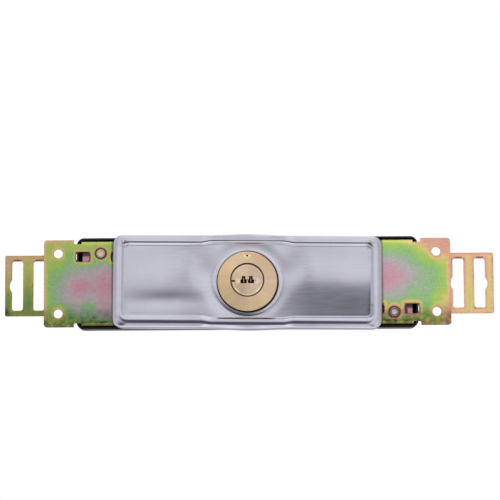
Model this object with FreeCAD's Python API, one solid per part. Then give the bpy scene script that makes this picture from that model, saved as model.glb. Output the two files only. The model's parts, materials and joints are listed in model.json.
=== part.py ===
import FreeCAD, Part
import math
import os
from FreeCAD import Vector

os.makedirs("parts", exist_ok=True)

# Roller garage door lock, upright as it is fitted, sizes in millimetres.
# X runs along the lock, the face looks towards -Y, Z is up.
# The origin is the centre of the four fixing holes, on the rear face of the ears,
# which is the face that bears on the door.

# Fits and clearances
turn_fit = 0.05            # radial gap of a turning or riveted fit
slide_gap = 0.3            # gap at a sliding face
face_gap = 0.1             # end float of a turning face
backlash = 0.2             # taken off the width of each tooth

# Fixing holes: the plate, the box and the covers take their sizes from these four
hole_pitch_x = 235.0
hole_pitch_z = 37.5
hole_diameter = 5.6

# Front plate: one folded steel sheet with a fixing ear at each end
plate_thick = 1.5
plate_end = 8.85           # from a hole to the end of its ear
ear_edge = 8.4             # from a hole to the long edge of its ear
ear_corner = 2.0
ear_gap = 1.7              # between an ear and the box
channel_edge = 8.05        # from a hole's level to the channel's outer face
channel_flange = 9.0       # reach of the flanges behind the ears
bend_radius = 3.0
notch_width = 4.8
notch_depth = 2.1          # cut into the channel's long edges
notch_corner = 1.0

# Rivets, and the coined windows on each side of them
rivet_rise = 1.5           # the rivet lies further out than its block's middle
rivet_diameter = 4.0
rivet_head = 5.4
rivet_pocket = 6.9
rivet_pocket_depth = 0.9
rivet_dome = 0.25
rivet_dimple = 2.2
rivet_dimple_depth = 0.3
rivet_tail = 7.0
rivet_tail_height = 1.2
window_length = 8.8
window_height = 6.1
window_corner = 2.4
window_spacing = 11.05     # from the rivet to each window, along X
window_drop = 0.55         # the windows lie further in than the block's middle
coin_width = 0.7           # bevel pressed round windows and rivet pockets
coin_depth = 0.6

# Guide blocks behind the rivets
block_length = 22.8
block_end_gap = 2.4        # from a block to the box's end wall
block_side_gap = 2.5       # from a block to the bend of the channel
block_pad = 13.6           # length that touches the plate, between two windows
block_step = 1.5

# Rear cover: a pressed steel box
box_inset = 11.4           # from a fixing hole to the box's end
box_gap = 0.5              # between the channel's flanges and the box
box_corner = 4.6
box_wall = 1.2
box_floor_radius = 2.6
guide_tab_length = 8.0
guide_tab_near = 8.0       # distance of the two guide tabs' middles from the plug
guide_tab_far = 40.0
guide_tab_lead = 1.1       # how far a tab stands past the front of a tongue

# Face cover: a drawn sheet
cover_setback = 23.6       # from the box's end to the cover's end
cover_overhang = 0.4       # the cover's long edges stand out past the box
cover_depth = 8.0
cover_sheet = 0.8
cover_corner = 6.0
cover_roll = 2.0           # outer radius of the rim's edge
cover_drop = 0.3           # the rim is wider below the panel than above
cover_bulge = 0.6          # the long edges bow out beside the cylinder
cover_bulge_length = 56.0
cover_skew = 0.69          # degrees that the cover sits turned on the plate
end_rim = 4.0              # from the cover's end to the recess
long_rim = 4.6             # from the cover's long edge to the recess
recess_depth = 1.7
recess_slope = 3.0         # width of the slope from rim to panel
recess_corner = 5.0
recess_bay_length = 52.0   # wider stretch of the recess beside the cylinder
recess_bay = 0.9
collar_flare = 2.55        # the collar's foot stands so far past the cylinder's head
collar_lip = 1.25          # and its top so far
collar_rise = 1.4
collar_gap = 0.45
tab_width = 5.0
tab_foot = 3.2
tab_z = 8.0

# Lock cylinder
head_lip = 3.5             # the head stands so far past the barrel
head_thick = 3.5
head_chamfer = 0.6
head_front = 10.6          # distance of the head's face in front of the ears' rear face
flat_depth = 2.2           # of the two flats along the barrel
barrel_end = 10.0          # rear end of the barrel behind the ears' rear face
plug_rise = 0.8            # the plug's axis lies above the head's middle
plug_lip = 3.6             # the plug's head stands so far past its body
plug_head_thick = 2.8
plug_head_gap = 0.35
plug_proud = 0.3
plug_chamfer = 1.1
plug_diameter = 13.0
spacer_wall = 2.2
nut_wall = 3.0
nut_thick = 3.2
nut_slots = 4
nut_slot_width = 5.0
nut_slot_rest = 1.3        # what a slot leaves of the nut's wall
washer_thick = 0.8
index_dot = 1.2            # punched dot on the head above the plug
index_depth = 0.4
index_edge = 2.9           # from the head's edge to the dot

# Keyway and pin stacks
key_width = 8.4
key_low = 2.15             # keyway floor below the plug's axis
key_high = 0.2             # keyway roof above the plug's axis
keyway_length = 19.5
key_rib = 0.8
key_rib_slit = 0.35
channel_width = 2.2
channel_top = 2.3
pin_row_x = 2.2
pin_diameter = 2.0
pin_first = 5.9            # first pin behind the head's face
pin_pitch = 3.9
pin_cuts = ((1.3, 0.5, 0.9, 0.2), (0.6, 1.2, 0.3, 1.0))
pin_tip = 0.5
driver_length = 2.4
spring_room = 2.3          # left for a spring above its driver pin
strip_thick = 0.8
strip_side = 1.0           # the strip reaches so far past the pins on each side
spring_wire = 0.3
spring_turns = 3
spring_sides = 6
drill_pin_diameter = 1.5
drill_pin_length = 6.0
drill_pin_edge = 1.5       # from the plug's wall to the pin's axis
drill_pin_drop = 0.5
slit_length = 2.4
slit_width = 0.8
slit_depth = 0.9
slit_drop = 0.7

# Pinion and racks
tooth_module = 1.0
pinion_teeth = 15
pressure_angle = 20.0
dedendum = 1.25
key_turn = 180.0           # degrees of plug turn for the full throw
tail_diameter = 8.0
tail_square = 5.6
journal_diameter = 5.8
thrust_washer_thick = 0.5
thrust_washer_diameter = 14.0
bush_diameter = 9.0
bush_flange = 12.6
bush_flange_thick = 1.0
clip_thick = 0.6
clip_diameter = 9.5
clip_groove = 0.7
journal_tip = 0.7
spare_teeth = 5            # rack teeth beyond those that the throw uses
near_teeth = 2             # rack teeth on the near side of the plug's axis at rest

# Sliding tongues
tongue_thick = 2.5
tongue_front = 10.6        # front face of the tongues behind the ears' rear face
shank_height = 26.0
shoulder_clear = 16.2      # from the box to the shoulder of a tongue's head at rest
head_corner = 1.0
neck_bar = 4.95            # from the shoulder to the first rod slot
left_end_bar = 4.2
right_end_bar = 5.2        # this tongue is sheared a little longer
rod_slot_width = 7.05
rod_slot_height = 31.1
rod_slot_corner = 1.5
slot_bar = 3.5             # above and below the rod slots
rod_slot_pitch = 13.4
rod_notch_height = 7.8
rod_notch_depth = 1.5
lug_length = 5.0
lug_height = 5.0

# Sizes that follow from the ones above
pin_edge = pin_row_x + pin_diameter / 2.0
pin_inner = pin_row_x - pin_diameter / 2.0
key_pin_top = math.sqrt((plug_diameter / 2.0) ** 2 - pin_edge ** 2) - turn_fit
driver_bottom = math.sqrt((plug_diameter / 2.0 + turn_fit) ** 2 - pin_inner ** 2) + turn_fit
strip_bottom = plug_rise + driver_bottom + driver_length + spring_room
barrel_flats = 2 * (strip_bottom + strip_thick)
barrel_diameter = barrel_flats + 2 * flat_depth
strip_width = 2 * (pin_edge + strip_side)
drill_pin_x = plug_diameter / 2.0 - drill_pin_edge
plug_head = plug_diameter + 2 * plug_lip
head_diameter = barrel_diameter + 2 * head_lip
spacer_diameter = barrel_diameter + 2 * spacer_wall
nut_diameter = barrel_diameter + 2 * nut_wall
collar_base = head_diameter + 2 * collar_flare
collar_top = head_diameter + 2 * collar_lip
plate_front = -plate_thick
plate_length = hole_pitch_x + 2 * plate_end
ear_height = hole_pitch_z + 2 * ear_edge
channel_height = hole_pitch_z + 2 * channel_edge
box_length = hole_pitch_x - 2 * box_inset
box_height = channel_height + 2 * (box_gap + box_wall)
ear_start = box_length / 2.0 + ear_gap
half_channel = ear_start - notch_width
tongue_rear = tongue_front + tongue_thick
floor_front = tongue_rear + slide_gap
floor_rear = floor_front + box_wall
pitch_radius = tooth_module * pinion_teeth / 2.0
tooth_pitch = math.pi * tooth_module
throw = pitch_radius * math.radians(key_turn)
cover_length = box_length - 2 * cover_setback
cover_height = box_height + 2 * cover_overhang
cover_front = plate_front - cover_depth
recess_length = cover_length - 2 * end_rim
recess_height = cover_height - 2 * long_rim
panel_front = cover_front + recess_depth
clip_front = floor_rear + bush_flange_thick + face_gap
clip_rear = clip_front + clip_thick
groove_diameter = journal_diameter - 2 * clip_groove
guide_z = shank_height / 2.0 + slide_gap
block_height = channel_height / 2.0 - bend_radius - block_side_gap - guide_z
block_z = guide_z + block_height / 2.0
block_inner = box_length / 2.0 - box_wall - block_end_gap - block_length
rivet_x = block_inner + block_length / 2.0
rivet_z = block_z + rivet_rise
window_z = block_z - window_drop
shoulder = box_length / 2.0 + shoulder_clear
head_height = rod_slot_height + 2 * slot_bar


# Helpers

def block(x0, x1, y0, y1, z0, z1):
    corner = Vector(min(x0, x1), min(y0, y1), min(z0, z1))
    return Part.makeBox(abs(x1 - x0), abs(y1 - y0), abs(z1 - z0), corner)


def disc(diameter, y0, y1, x=0.0, z=0.0):
    return Part.makeCylinder(diameter / 2.0, y1 - y0, Vector(x, y0, z), Vector(0, 1, 0))


def outline(start, steps, y):
    """A closed wire in the plane of y. A step is a point for a line, or a pair for an arc."""
    edges = []
    here = Vector(start[0], y, start[1])
    for step in steps:
        if isinstance(step[0], tuple):
            middle, point = step
            there = Vector(point[0], y, point[1])
            edges.append(Part.Arc(here, Vector(middle[0], y, middle[1]), there).toShape())
        else:
            there = Vector(step[0], y, step[1])
            edges.append(Part.LineSegment(here, there).toShape())
        here = there
    return Part.Wire(edges)


def rounded(points, radii):
    """Outline steps for a polygon in X and Z whose corners have their own radii."""
    steps = []
    count = len(points)
    for i in range(count):
        before, corner, after = points[i - 1], points[i], points[(i + 1) % count]
        back = Vector(before[0] - corner[0], before[1] - corner[1], 0).normalize()
        ahead = Vector(after[0] - corner[0], after[1] - corner[1], 0).normalize()
        if radii[i] == 0:
            steps.append(corner)
            continue
        half_angle = back.getAngle(ahead) / 2.0
        reach = radii[i] / math.tan(half_angle)
        bisector = (back + ahead).normalize()
        middle = radii[i] / math.sin(half_angle) - radii[i]
        steps.append((corner[0] + back.x * reach, corner[1] + back.y * reach))
        steps.append((
            (corner[0] + bisector.x * middle, corner[1] + bisector.y * middle),
            (corner[0] + ahead.x * reach, corner[1] + ahead.y * reach),
        ))
    last = steps[-1]
    start = last[1] if isinstance(last[0], tuple) else last
    return start, steps


def rectangle(length, height, radius, y, x=0.0, z=0.0):
    half_x, half_z = length / 2.0, height / 2.0
    points = [(x - half_x, z - half_z), (x - half_x, z + half_z),
              (x + half_x, z + half_z), (x + half_x, z - half_z)]
    start, steps = rounded(points, [radius] * 4)
    return outline(start, steps, y)


def extrude(wire, y1):
    depth = y1 - wire.BoundBox.YMin
    return Part.Face(wire).extrude(Vector(0, depth, 0))


def taper(wide, narrow):
    return Part.makeLoft([wide, narrow], True, True)


def punched(diameter, depth, y, x, z):
    """A pointed dimple in a face that looks forward."""
    return Part.makeCone(diameter / 2.0, 0.0, depth, Vector(x, y, z), Vector(0, 1, 0))


def fuse(shapes):
    whole = shapes[0]
    if len(shapes) > 1:
        whole = whole.fuse(shapes[1:])
    return whole.removeSplitter()


def double_d(diameter, flats, y0, y1):
    return disc(diameter, y0, y1).common(block(-diameter, diameter, y0, y1, -flats / 2.0, flats / 2.0))


def edges_at(solid, y):
    """Edges of a solid that lie in the plane of y."""
    return [e for e in solid.Edges if abs(e.BoundBox.YMin - y) < 1e-6 and abs(e.BoundBox.YMax - y) < 1e-6]


def long_edges_at(solid, y):
    return [e for e in edges_at(solid, y) if e.BoundBox.XLength > e.BoundBox.ZLength]


def bore(diameter, y0, y1, places):
    return [disc(diameter, y0, y1, x, z) for x, z in places]


def save(name, shape):
    shape.exportStep("parts/" + name + ".step")


# Front plate

def plate_sheet():
    """The flat blank in front view: ears, relief notches and the channel's flat face."""
    end = plate_length / 2.0
    ear = ear_height / 2.0
    web = channel_height / 2.0 - notch_depth
    flat = channel_height / 2.0 - bend_radius
    quarter = [(-end, ear, ear_corner), (-ear_start, ear, 0), (-ear_start, web, notch_corner),
               (-half_channel, web, 0), (-half_channel, flat, 0)]
    top = quarter + [(-x, z, r) for x, z, r in reversed(quarter)]
    whole = top + [(-x, -z, r) for x, z, r in top]
    start, steps = rounded([(x, z) for x, z, r in whole], [r for x, z, r in whole])
    return extrude(outline(start, steps, plate_front), 0.0)


def channel():
    """The folded channel: a bent bar less its hollow, with both bends at the same thickness."""
    top = channel_height / 2.0
    outer = block(-half_channel, half_channel, plate_front, channel_flange, -top, top)
    outer = outer.makeFillet(bend_radius, long_edges_at(outer, plate_front))
    under = top - plate_thick
    inner = block(-half_channel, half_channel, 0.0, channel_flange, -under, under)
    inner = inner.makeFillet(bend_radius - plate_thick, long_edges_at(inner, 0.0))
    return outer.cut(inner)


def corners_of_four(x, z):
    return [(sx * x, sz * z) for sx in (-1, 1) for sz in (-1, 1)]


def window(x, z):
    """A window through the plate with its coined bevel."""
    opening = rectangle(window_length, window_height, window_corner, plate_front, x, z)
    wide = rectangle(window_length + 2 * coin_width, window_height + 2 * coin_width,
                     window_corner + coin_width, plate_front, x, z)
    narrow = rectangle(window_length, window_height, window_corner, plate_front + coin_depth, x, z)
    return extrude(opening, 0.0).fuse(taper(wide, narrow))


def rivet_seat(x, z):
    """The pocket for a rivet's head, its coined bevel and the hole for the shank."""
    pocket = disc(rivet_pocket, plate_front, plate_front + rivet_pocket_depth, x, z)
    bevel = Part.makeCone(rivet_pocket / 2.0 + coin_width, rivet_pocket / 2.0, coin_depth,
                          Vector(x, plate_front, z), Vector(0, 1, 0))
    hole = disc(rivet_diameter + 2 * turn_fit, plate_front, 0.0, x, z)
    return pocket.fuse([bevel, hole])


def rivet_places():
    """Upper left and lower right."""
    return {"left": (-rivet_x, rivet_z), "right": (rivet_x, -rivet_z)}


def front_plate():
    cuts = bore(hole_diameter, plate_front, 0.0, corners_of_four(hole_pitch_x / 2.0, hole_pitch_z / 2.0))
    for x, z in rivet_places().values():
        side = math.copysign(1, z)
        cuts.append(rivet_seat(x, z))
        cuts.append(window(x - window_spacing, side * window_z))
        cuts.append(window(x + window_spacing, side * window_z))
    cuts.append(double_d(barrel_diameter + 2 * turn_fit, barrel_flats + 2 * turn_fit, plate_front, 0.0))
    cuts += cover_tabs(slide_gap)
    return fuse([plate_sheet(), channel()]).cut(cuts)


# Rear cover

def rear_cover():
    outer = extrude(rectangle(box_length, box_height, box_corner, 0.0), floor_rear)
    outer = outer.makeFillet(box_floor_radius, edges_at(outer, floor_rear))
    hollow = rectangle(box_length - 2 * box_wall, box_height - 2 * box_wall, box_corner - box_wall, 0.0)
    inner = extrude(hollow, floor_front)
    inner = inner.makeFillet(box_floor_radius - box_wall, edges_at(inner, floor_front))
    end = box_length / 2.0
    cuts = [inner]
    for side in (-1, 1):
        cuts.append(block(side * (end - 2 * box_wall), side * (end + box_wall),
                          tongue_front - slide_gap, floor_front, -guide_z, guide_z))
    cuts += bore(rivet_diameter + 2 * turn_fit, floor_front, floor_rear, rivet_places().values())
    cuts.append(disc(bush_diameter, floor_front, floor_rear, 0.0, plug_rise))
    tabs = []
    for side in (-1, 1):
        for x in (guide_tab_near, guide_tab_far):
            tab, hole = guide_tab(side * x, side)
            tabs.append(tab)
            cuts.append(hole)
    return fuse([outer.cut(cuts)] + tabs)


def guide_tab(x, side):
    """A tab lanced from the floor that backs a rack, and the hole it leaves."""
    half = guide_tab_length / 2.0
    front = tongue_front - guide_tab_lead
    tab = block(x - half, x + half, front, floor_rear, side * guide_z, side * (guide_z + box_wall))
    far = guide_z + box_wall + floor_rear - front
    hole = block(x - half, x + half, floor_front, floor_rear, side * (guide_z + box_wall), side * far)
    return tab, hole


# Face cover

def cover_outline(inset, y):
    """The cover's outline: a rounded rectangle whose long edges bow out beside the cylinder.

    Each bow is an S on the left, a crown and an S on the right, three arcs that meet without a kink.
    """
    half_x = cover_length / 2.0 - inset
    half_z = cover_height / 2.0 - inset
    radius = cover_corner - inset
    turn = radius * (1 - math.sqrt(0.5))
    span = cover_bulge_length / 2.0

    def along(side):
        """From one end of a long edge to the other and round the corner."""
        edge = side * half_z - cover_drop
        crown = edge + side * cover_bulge
        knee = (edge + crown) / 2.0
        toe = edge + side * cover_bulge / 8.0
        return [
            (-side * span, edge),
            ((-side * span * 0.75, toe), (-side * span / 2.0, knee)),
            ((0.0, crown), (side * span / 2.0, knee)),
            ((side * span * 0.75, toe), (side * span, edge)),
            (side * (half_x - radius), edge),
            ((side * (half_x - turn), edge - side * turn), (side * half_x, edge - side * radius)),
        ]

    def corner(side):
        """Down an end and round its second corner."""
        edge = -side * half_z - cover_drop
        return [
            (side * half_x, edge + side * radius),
            ((side * (half_x - turn), edge + side * turn), (side * (half_x - radius), edge)),
        ]

    steps = along(1) + corner(1) + along(-1) + corner(-1)
    return outline((radius - half_x, half_z - cover_drop), steps, y)


def recess(inset, y0, y1):
    """The tapered hollow of the panel, with its wider bay beside the cylinder."""
    slope = recess_slope
    wide = rectangle(recess_length + 2 * inset, recess_height + 2 * inset, recess_corner + inset, y0)
    narrow = rectangle(recess_length + 2 * inset - 2 * slope, recess_height + 2 * inset - 2 * slope,
                       recess_corner + inset - slope / 2.0, y1)
    bay_height = recess_height + 2 * (inset + recess_bay)
    bay_wide = rectangle(recess_bay_length + 2 * inset, bay_height, recess_corner + inset, y0)
    bay_narrow = rectangle(recess_bay_length + 2 * inset - 2 * slope, bay_height - 2 * slope,
                           recess_corner + inset - slope / 2.0, y1)
    return taper(wide, narrow).fuse(taper(bay_wide, bay_narrow))


def collar():
    """The flared collar round the cylinder's head, a revolved strip of the same sheet."""
    base, top = collar_base / 2.0, collar_top / 2.0
    hole = head_diameter / 2.0 + collar_gap
    front = panel_front - collar_rise
    outside = [(base + cover_sheet, panel_front), (base, panel_front), (top, front), (hole, front)]
    shift = cover_sheet / 2.0
    inside = [(hole, front + cover_sheet), (top - shift, front + cover_sheet),
              (base - shift, panel_front + cover_sheet), (base + cover_sheet, panel_front + cover_sheet)]
    points = outside + inside
    wire = Part.makePolygon([Vector(r, y, 0) for r, y in points + points[:1]])
    return Part.Face(wire).revolve(Vector(0, 0, 0), Vector(0, 1, 0), 360)


def cover_tabs(gap):
    """The end walls' bent tabs, or with a gap the slots that they pass through."""
    outer = cover_length / 2.0
    inner = outer - cover_sheet
    half = tab_width / 2.0 + gap
    shapes = []
    for side in (-1, 1):
        for z in (-tab_z, tab_z):
            leg = block(side * (inner - gap), side * (outer + gap), plate_front, 0.0, z - half, z + half)
            if gap:
                shapes.append(leg)
                continue
            foot = block(side * (outer - tab_foot), side * outer, 0.0, cover_sheet, z - half, z + half)
            shapes.append(leg.fuse(foot))
    return [skewed(shape) for shape in shapes]


def skewed(shape):
    turned = shape.copy()
    turned.rotate(Vector(0, 0, 0), Vector(0, 1, 0), cover_skew)
    return turned


def face_cover():
    outer = extrude(cover_outline(0.0, cover_front), plate_front)
    outer = outer.makeFillet(cover_roll, edges_at(outer, cover_front))
    inner = extrude(cover_outline(cover_sheet, cover_front + cover_sheet), plate_front)
    inner = inner.makeFillet(cover_roll - cover_sheet, edges_at(inner, cover_front + cover_sheet))
    pan = outer.cut(inner)
    lining = recess(cover_sheet, cover_front + cover_sheet, panel_front + cover_sheet)
    pan = pan.fuse(lining).cut(recess(0.0, cover_front, panel_front))
    pan = pan.cut(disc(collar_base + cover_sheet, panel_front, panel_front + cover_sheet))
    return fuse([skewed(fuse([pan, collar()]))] + cover_tabs(0.0))


# Lock cylinder

def pin_places():
    """Each pin's place along the barrel, its row and the depth of its cut in the key."""
    places = []
    for side, cuts in zip((-1, 1), pin_cuts):
        for i, cut in enumerate(cuts):
            places.append((side * pin_row_x, pin_first + i * pin_pitch - head_front, cut))
    return places


def upright(diameter, x, y, z0, z1):
    return Part.makeCylinder(diameter / 2.0, z1 - z0, Vector(x, y, z0))


def strip_ends():
    return -head_front + head_thick, barrel_end - pin_diameter / 4.0


def cylinder_body():
    head = disc(head_diameter, -head_front, -head_front + head_thick)
    head = head.makeChamfer(head_chamfer, edges_at(head, -head_front))
    barrel = double_d(barrel_diameter, barrel_flats, -head_front + head_thick, barrel_end)
    seat = plug_head_thick - plug_proud
    cuts = [
        disc(plug_head + 2 * plug_head_gap, -head_front, -head_front + seat, 0.0, plug_rise),
        disc(plug_diameter + 2 * turn_fit, -head_front, barrel_end, 0.0, plug_rise),
        punched(index_dot, index_depth, -head_front, 0.0, head_diameter / 2.0 - index_edge),
    ]
    for x, y, _ in pin_places():
        cuts.append(upright(pin_diameter + 2 * turn_fit, x, y, plug_rise, strip_bottom))
    start, end = strip_ends()
    cuts.append(block(-strip_width / 2.0, strip_width / 2.0, start, end, strip_bottom, barrel_flats / 2.0))
    return fuse([head, barrel]).cut(cuts)


def pin_cover_strip():
    start, end = strip_ends()
    half = strip_width / 2.0 - turn_fit
    return block(-half, half, start + turn_fit, end - turn_fit, strip_bottom, barrel_flats / 2.0)


def keyway():
    """The flat slot, the two channels over it and the rib that stands between them."""
    front = -head_front - plug_proud
    end = front + keyway_length
    low, high = plug_rise - key_low, plug_rise + key_high
    slot = block(-key_width / 2.0, key_width / 2.0, front, end, low, high)
    rib = block(-key_rib / 2.0, key_rib / 2.0, front, end, low, high - key_rib_slit)
    half, top = channel_width / 2.0, plug_rise + channel_top
    channels = [block(x - half, x + half, front, end, high, top) for x in (-pin_row_x, pin_row_x)]
    return slot.cut(rib).fuse(channels)


def cylinder_plug():
    front = -head_front - plug_proud
    head_end = front + plug_head_thick
    shoulder = barrel_end - face_gap
    seat_end = tongue_rear + face_gap / 2.0
    journal_end = clip_rear + journal_tip
    head = disc(plug_head, front, head_end, 0.0, plug_rise)
    head = head.makeChamfer(plug_chamfer / 2.0, plug_chamfer, edges_at(head, front))
    half = tail_square / 2.0
    shapes = [
        head,
        disc(plug_diameter, head_end, shoulder, 0.0, plug_rise),
        disc(tail_diameter, shoulder, barrel_end + thrust_washer_thick, 0.0, plug_rise),
        block(-half, half, barrel_end, seat_end, plug_rise - half, plug_rise + half),
        disc(journal_diameter, seat_end, journal_end, 0.0, plug_rise),
    ]
    groove = disc(journal_diameter, clip_front, clip_rear, 0.0, plug_rise)
    groove = groove.cut(disc(groove_diameter, clip_front, clip_rear, 0.0, plug_rise))
    slit_z = plug_rise - slit_drop
    slit = block(-plug_head / 2.0 - slit_width, -plug_head / 2.0 + slit_length, front, front + slit_depth,
                 slit_z - slit_width / 2.0, slit_z + slit_width / 2.0)
    drill = disc(drill_pin_diameter, front, front + drill_pin_length, drill_pin_x, plug_rise - drill_pin_drop)
    cuts = [keyway(), groove, slit, drill]
    roof = plug_rise + key_high
    for x, y, _ in pin_places():
        cuts.append(upright(pin_diameter + 2 * turn_fit, x, y, roof, roof + plug_diameter))
    return fuse(shapes).cut(cuts)


def key_pins():
    """Pins lifted to the shear line, so that the plug can turn."""
    pins = []
    for x, y, cut in pin_places():
        tip = plug_rise + key_high - key_low / 2.0 - cut / 2.0
        top = plug_rise + key_pin_top
        pin = upright(pin_diameter, x, y, tip, top)
        low_edge = [e for e in pin.Edges if abs(e.BoundBox.ZMax - tip) < 1e-6]
        pins.append(pin.makeChamfer(pin_tip, low_edge))
    return Part.makeCompound(pins)


def driver_pins():
    bottom = plug_rise + driver_bottom
    top = bottom + driver_length
    return Part.makeCompound([upright(pin_diameter, x, y, bottom, top) for x, y, _ in pin_places()])


def coil(radius, wire, height, turns):
    """A small spring of square wire, wound in short straight runs."""
    count = spring_sides * turns
    points = []
    for i in range(count + 1):
        angle = 2 * math.pi * i / spring_sides
        points.append(Vector(radius * math.cos(angle), radius * math.sin(angle), height * i / count))
    half = wire / 2.0
    corners = [Vector(radius - half, 0, -half), Vector(radius + half, 0, -half),
               Vector(radius + half, 0, half), Vector(radius - half, 0, half)]
    section = Part.makePolygon(corners + corners[:1])
    return Part.makePolygon(points).makePipeShell([section], True, False, 1)


def pin_springs():
    """Coils between the driver pins and the strip that closes their bores."""
    start = plug_rise + driver_bottom + driver_length
    rise = strip_bottom - start - 2 * spring_wire
    radius = pin_diameter / 2.0 - spring_wire
    coils = []
    for x, y, _ in pin_places():
        spring = coil(radius, spring_wire, rise, spring_turns)
        spring.translate(Vector(x, y, start + spring_wire))
        coils.append(spring)
    return Part.makeCompound(coils)


def anti_drill_pin():
    front = -head_front - plug_proud
    return disc(drill_pin_diameter, front, front + drill_pin_length, drill_pin_x, plug_rise - drill_pin_drop)


def cylinder_spacer():
    outer = disc(spacer_diameter, -head_front + head_thick, plate_front)
    return outer.cut(disc(barrel_diameter + 2 * slide_gap, -head_front + head_thick, plate_front))


def nut_washer():
    outer = disc(nut_diameter, 0.0, washer_thick)
    return outer.cut(disc(barrel_diameter + 2 * slide_gap, 0.0, washer_thick))


def cylinder_nut():
    front, rear = washer_thick, washer_thick + nut_thick
    ring = disc(nut_diameter, front, rear).cut(disc(barrel_diameter + 2 * turn_fit, front, rear))
    half = nut_slot_width / 2.0
    floor = barrel_diameter / 2.0 + nut_slot_rest
    cuts = []
    for i in range(nut_slots):
        slot = block(floor, nut_diameter, front, rear, -half, half)
        slot.rotate(Vector(0, 0, 0), Vector(0, 1, 0), i * 360.0 / nut_slots)
        cuts.append(slot)
    return ring.cut(cuts)


# Pinion drive

def involute(angle):
    return math.tan(angle) - angle


def flank_angle(radius):
    """Half of a tooth's angle at a radius."""
    base = pitch_radius * math.cos(math.radians(pressure_angle))
    half_tooth = (tooth_pitch - backlash) / 4.0 / pitch_radius
    local = math.acos(min(1.0, base / radius))
    return half_tooth + involute(math.radians(pressure_angle)) - involute(local)


def gear_outline(y):
    """Involute teeth, the first one straight up."""
    tip = pitch_radius + tooth_module
    root = pitch_radius - dedendum * tooth_module
    base = max(root, pitch_radius * math.cos(math.radians(pressure_angle)))
    middle = (tip + base) / 2.0

    def at(radius, angle):
        return (radius * math.sin(angle), plug_rise + radius * math.cos(angle))

    steps = []
    step = 2 * math.pi / pinion_teeth
    for i in range(pinion_teeth):
        centre = i * step
        gap = centre + step / 2.0
        steps += [
            at(base, centre - flank_angle(base)),
            (at(middle, centre - flank_angle(middle)), at(tip, centre - flank_angle(tip))),
            (at(tip, centre), at(tip, centre + flank_angle(tip))),
            (at(middle, centre + flank_angle(middle)), at(base, centre + flank_angle(base))),
            at(root, centre + flank_angle(base)),
            (at(root, gap), at(root, centre + step - flank_angle(base))),
        ]
    return outline(at(root, -flank_angle(base)), steps, y)


def pinion():
    gear = extrude(gear_outline(tongue_front), tongue_rear)
    half = tail_square / 2.0 + turn_fit
    return gear.cut(block(-half, half, tongue_front, tongue_rear, plug_rise - half, plug_rise + half))


def thrust_washer():
    rear = barrel_end + thrust_washer_thick
    outer = disc(thrust_washer_diameter, barrel_end, rear, 0.0, plug_rise)
    return outer.cut(disc(tail_diameter + 2 * turn_fit, barrel_end, rear, 0.0, plug_rise))


def rear_bush():
    front = tongue_rear + face_gap
    rear = floor_rear + bush_flange_thick
    shapes = [disc(bush_diameter, front, floor_rear, 0.0, plug_rise),
              disc(bush_flange, floor_rear, rear, 0.0, plug_rise)]
    return fuse(shapes).cut(disc(journal_diameter + 2 * turn_fit, front, rear, 0.0, plug_rise))


def plug_clip():
    """An open spring ring with its mouth downwards."""
    ring = disc(clip_diameter, clip_front, clip_rear, 0.0, plug_rise)
    ring = ring.cut(disc(groove_diameter, clip_front, clip_rear, 0.0, plug_rise))
    half = groove_diameter / 2.0
    mouth = block(-half, half, clip_front, clip_rear, plug_rise - clip_diameter, plug_rise)
    return ring.cut(mouth)


# Tongues

def head_cuts():
    """Two rod slots, each with a half-round notch on the side away from the other."""
    cuts = []
    radius = (rod_notch_height ** 2 / 4.0 + rod_notch_depth ** 2) / (2 * rod_notch_depth)
    first = shoulder + neck_bar + rod_slot_width / 2.0
    for centre, away in ((first, -1), (first + rod_slot_pitch, 1)):
        cuts.append(extrude(rectangle(rod_slot_width, rod_slot_height, rod_slot_corner, tongue_front, centre),
                            tongue_rear))
        edge = centre + away * rod_slot_width / 2.0
        round_cut = disc(2 * radius, tongue_front, tongue_rear, edge + away * (rod_notch_depth - radius))
        side = block(edge, edge + away * rod_slot_pitch, tongue_front, tongue_rear, -head_height, head_height)
        cuts.append(round_cut.common(side))
    return cuts


def rack_arm(inner, arm_side):
    """A toothed arm from the shank past the pinion, with its teeth towards the plug's axis."""
    pitch_z = plug_rise + arm_side * pitch_radius
    root = pitch_z + arm_side * dedendum * tooth_module
    tip = pitch_z - arm_side * tooth_module
    back = arm_side * shank_height / 2.0
    slope = math.tan(math.radians(pressure_angle))
    pitch_half = (tooth_pitch - backlash) / 4.0
    root_half = pitch_half + slope * dedendum * tooth_module
    tip_half = pitch_half - slope * tooth_module
    count = int(throw / tooth_pitch) + spare_teeth
    first = (near_teeth - count) * tooth_pitch
    end = first - tooth_pitch / 2.0
    points = [(inner, root), (inner, back), (end, back), (end, root)]
    for i in range(count):
        centre = first + i * tooth_pitch
        points += [(centre - root_half, root), (centre - tip_half, tip),
                   (centre + tip_half, tip), (centre + root_half, root)]
    wire = Part.makePolygon([Vector(x, tongue_front, z) for x, z in points + points[:1]])
    return extrude(wire, tongue_rear)


def tongue(arm_side, end_bar):
    """A tongue that slides to the right, with its head, its stop lug and its rack arm."""
    outer = shoulder + neck_bar + rod_slot_pitch + rod_slot_width + end_bar
    lug_face = block_inner - throw - slide_gap - tooth_pitch / 2.0
    inner = lug_face - lug_length
    half = shank_height / 2.0
    middle = (shoulder + outer) / 2.0
    head = extrude(rectangle(outer - shoulder, head_height, head_corner, tongue_front, middle), tongue_rear)
    shank = block(inner, shoulder, tongue_front, tongue_rear, -half, half)
    lug = block(inner, lug_face, tongue_front, tongue_rear, -arm_side * half, -arm_side * (half + lug_height))
    return fuse([head.cut(head_cuts()), shank, lug, rack_arm(inner, arm_side)])


def left_tongue():
    """Its rack runs under the pinion."""
    return tongue(-1, left_end_bar).mirror(Vector(0, 0, 0), Vector(1, 0, 0))


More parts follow.
